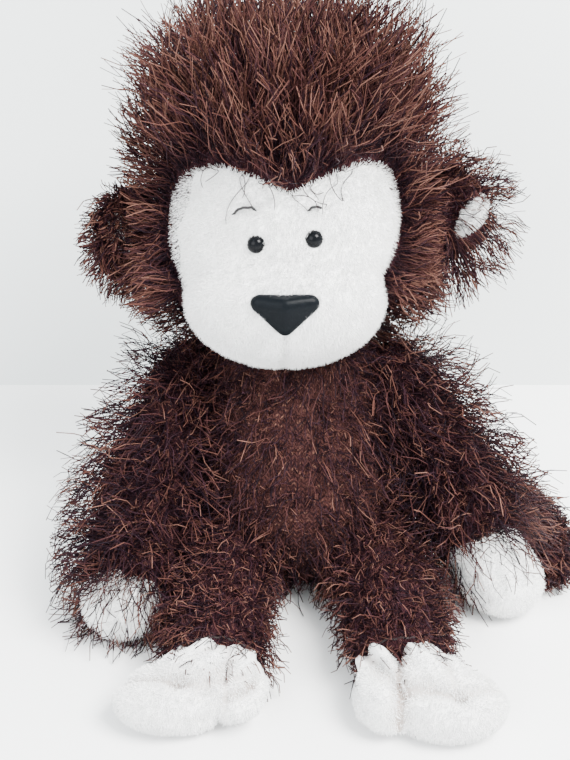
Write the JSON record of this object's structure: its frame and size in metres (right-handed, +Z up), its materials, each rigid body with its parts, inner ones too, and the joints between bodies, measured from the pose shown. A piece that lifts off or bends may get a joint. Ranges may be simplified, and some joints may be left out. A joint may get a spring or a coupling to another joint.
{
  "type": "stuffed monkey",
  "caption": "Sitting bean-filled plush monkey in shaggy brown eyelash-yarn knit with white plush face, hands, feet and ear linings, and a curled tail; head, ears, limbs and tail move.",
  "frame": {"origin": "middle of the round seat panel, on the surface the toy sits on", "axes": "+Z up, -Y the way the face looks, +X to the toy's own left"},
  "size_m": [0.1751, 0.1759, 0.1949],
  "materials": {
    "knit": "stockinette knit of brown eyelash yarn",
    "pile": "long loose ends of brown eyelash yarn",
    "plush": "short dense white pile",
    "fibre": "loose polyester fibre",
    "pellets": "small round plastic pellets",
    "bead": "polished black",
    "nose": "satin black",
    "washer": "moulded",
    "thread": "dark sewing thread",
    "white_thread": "white sewing thread"
  },
  "bodies": {
    "torso": {"torso_skin": "knit", "seat_panel": "knit", "torso_stuffing": "fibre", "seat_pellets": "pellets", "neck_seam": "thread", "back_seam": "thread"},
    "neck": {"neck_stuffing": "fibre"},
    "head": {"head_skin": "knit", "head_stuffing": "fibre", "crown_pile": "pile", "face_panel": "plush", "muzzle_seam": "white_thread", "eye_left": "bead", "eye_right": "bead", "eye_washer_left": "washer", "eye_washer_right": "washer", "nose": "nose", "nose_washer": "washer", "brow_left": "thread", "brow_right": "thread"},
    "ear_left": {"ear_back_left": "knit", "ear_lining_left": "plush"},
    "ear_right": {"ear_back_right": "knit", "ear_lining_right": "plush"},
    "tail": {"tail_skin": "knit", "tail_stuffing": "fibre"},
    "arm_left": {"sleeve_left": "knit", "arm_stuffing_left": "fibre", "hand_left": "plush", "hand_pellets_left": "pellets", "wrist_seam_left": "white_thread"},
    "leg_left": {"leg_left": "knit", "leg_stuffing_left": "fibre", "foot_left": "plush", "foot_pellets_left": "pellets", "ankle_seam_left": "white_thread"},
    "arm_right": {"sleeve_right": "knit", "arm_stuffing_right": "fibre", "hand_right": "plush", "hand_pellets_right": "pellets", "wrist_seam_right": "white_thread"},
    "leg_right": {"leg_right": "knit", "leg_stuffing_right": "fibre", "foot_right": "plush", "foot_pellets_right": "pellets", "ankle_seam_right": "white_thread"}
  },
  "joints": [
    {"name": "head_turn", "type": "hinge", "parent": "torso", "child": "neck", "pos_m": [-0.006, 0.014, 0.09], "axis": [0, 0, 1], "range_deg": [-25, 25], "stiffness_Nm_per_rad": 0.08},
    {"name": "head_nod", "type": "hinge", "parent": "neck", "child": "head", "pos_m": [-0.006, 0.014, 0.09], "axis": [1, 0, 0], "range_deg": [-10, 12], "stiffness_Nm_per_rad": 0.6},
    {"name": "ear_left_flop", "type": "hinge", "parent": "head", "child": "ear_left", "pos_m": [0.0406, 0.01741, 0.12777], "axis": [0, 0.1045, 0.9945], "range_deg": [-20, 35], "stiffness_Nm_per_rad": 0.004},
    {"name": "ear_right_flop", "type": "hinge", "parent": "head", "child": "ear_right", "pos_m": [-0.0526, 0.01678, 0.1218], "axis": [0, 0.1045, 0.9945], "range_deg": [-10, 45], "stiffness_Nm_per_rad": 0.004},
    {"name": "shoulder_left", "type": "hinge", "parent": "torso", "child": "arm_left", "pos_m": [0.034, 0.01, 0.068], "axis": [-1, 0, 0], "range_deg": [-5, 78]},
    {"name": "shoulder_right", "type": "hinge", "parent": "torso", "child": "arm_right", "pos_m": [-0.04, 0.01, 0.068], "axis": [-1, 0, 0], "range_deg": [-5, 78]},
    {"name": "hip_left", "type": "hinge", "parent": "torso", "child": "leg_left", "pos_m": [0.0245, -0.02, 0.017], "axis": [-1, 0, 0], "range_deg": [-45, 20]},
    {"name": "hip_right", "type": "hinge", "parent": "torso", "child": "leg_right", "pos_m": [-0.0245, -0.02, 0.017], "axis": [-1, 0, 0], "range_deg": [-45, 20]},
    {"name": "tail_swing", "type": "hinge", "parent": "torso", "child": "tail", "pos_m": [0.008, 0.03, 0.014], "axis": [0, 0, 1], "range_deg": [0, 30]}
  ]
}
